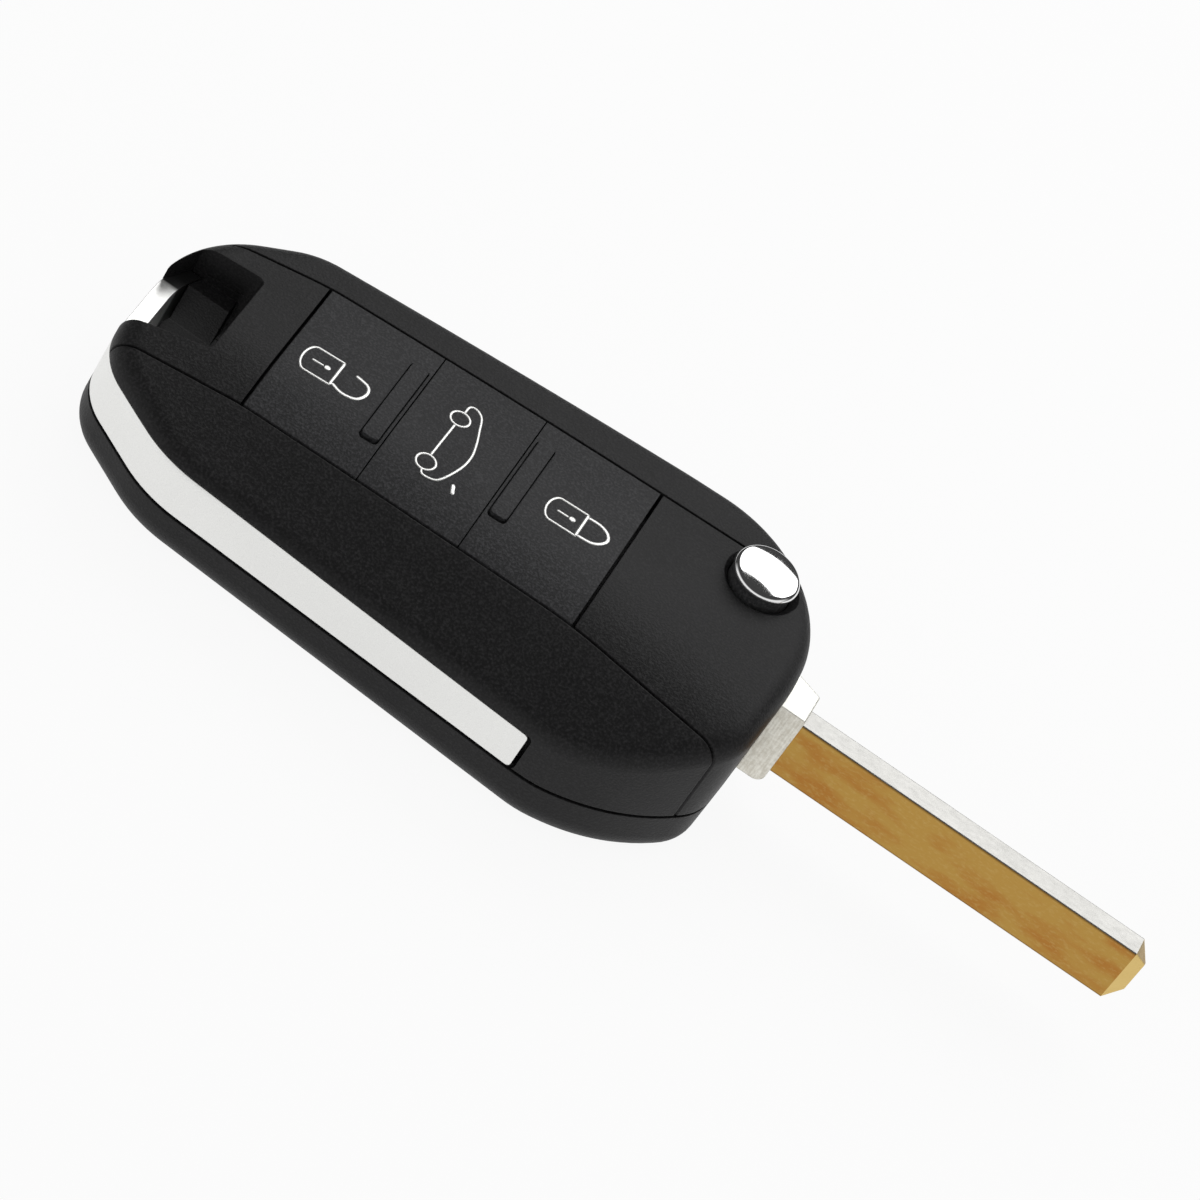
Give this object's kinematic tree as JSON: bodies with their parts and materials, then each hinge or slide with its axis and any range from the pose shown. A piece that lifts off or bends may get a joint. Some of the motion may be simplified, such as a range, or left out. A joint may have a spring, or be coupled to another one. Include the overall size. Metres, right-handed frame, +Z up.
{
  "type": "flip key fob shell",
  "caption": "Folding car key housing: crowned two-part case with keys, a bright side trim that bridges a key-ring opening, and a blade that swings out when the release button is pressed.",
  "frame": {"origin": "centre of the whole outline with the blade open, on the flat back", "axes": "+X from the key-ring end to the blade tip, +Y towards the side that the blade folds into, +Z up from the back to the keys"},
  "size_m": [0.1206, 0.0383, 0.0212],
  "materials": {
    "case_plastic": "fine grained matte",
    "key_plastic": "soft matte",
    "plunger_plastic": "satin",
    "pad_rubber": "matte",
    "trim_silver": "satin silver",
    "bright_chrome": "polished",
    "cast_metal": "cast, lightly machined",
    "blade_brass": "dull, uncut",
    "spring_steel": "bright",
    "contact_metal": "nickel plated"
  },
  "bodies": {
    "case": {"upper_case": "case_plastic", "lower_case": "case_plastic", "top_cover": "case_plastic", "button_pad": "pad_rubber", "side_trim": "trim_silver", "pivot_shaft": "spring_steel", "retaining_washer": "spring_steel", "torsion_spring": "spring_steel", "return_spring": "spring_steel", "case_screws": "spring_steel", "base_contact": "contact_metal", "side_contact": "contact_metal"},
    "blade_head": {"flip_head": "cast_metal", "blade": "blade_brass", "blade_pin": "spring_steel"},
    "release": {"release_button": "bright_chrome", "release_plunger": "plunger_plastic", "lock_cam": "plunger_plastic"},
    "unlock_key": {"unlock_button": "key_plastic"},
    "boot_key": {"boot_button": "key_plastic"},
    "lock_key": {"lock_button": "key_plastic"}
  },
  "joints": [
    {"name": "blade_flip", "type": "hinge", "parent": "case", "child": "blade_head", "pos_m": [0.0068, 0.01, 0.0093], "axis": [0, 0, 1], "range_deg": [0, 180], "stiffness_Nm_per_rad": 0.004, "springref_deg": -45.84, "deforming": ["torsion_spring"]},
    {"name": "release_press", "type": "slide", "parent": "case", "child": "release", "axis": [0, 0, -1], "range_m": [0, 0.0014], "stiffness_N_per_m": 900, "springref_m": -0.001, "deforming": ["return_spring"]},
    {"name": "unlock_press", "type": "slide", "parent": "case", "child": "unlock_key", "axis": [0, 0, -1], "range_m": [0, 0.0005], "stiffness_N_per_m": 1500, "springref_m": -0.0004, "deforming": ["button_pad"]},
    {"name": "boot_press", "type": "slide", "parent": "case", "child": "boot_key", "axis": [0, 0, -1], "range_m": [0, 0.0005], "stiffness_N_per_m": 1500, "springref_m": -0.0004, "deforming": ["button_pad"]},
    {"name": "lock_press", "type": "slide", "parent": "case", "child": "lock_key", "axis": [0, 0, -1], "range_m": [0, 0.0005], "stiffness_N_per_m": 1500, "springref_m": -0.0004, "deforming": ["button_pad"]}
  ]
}
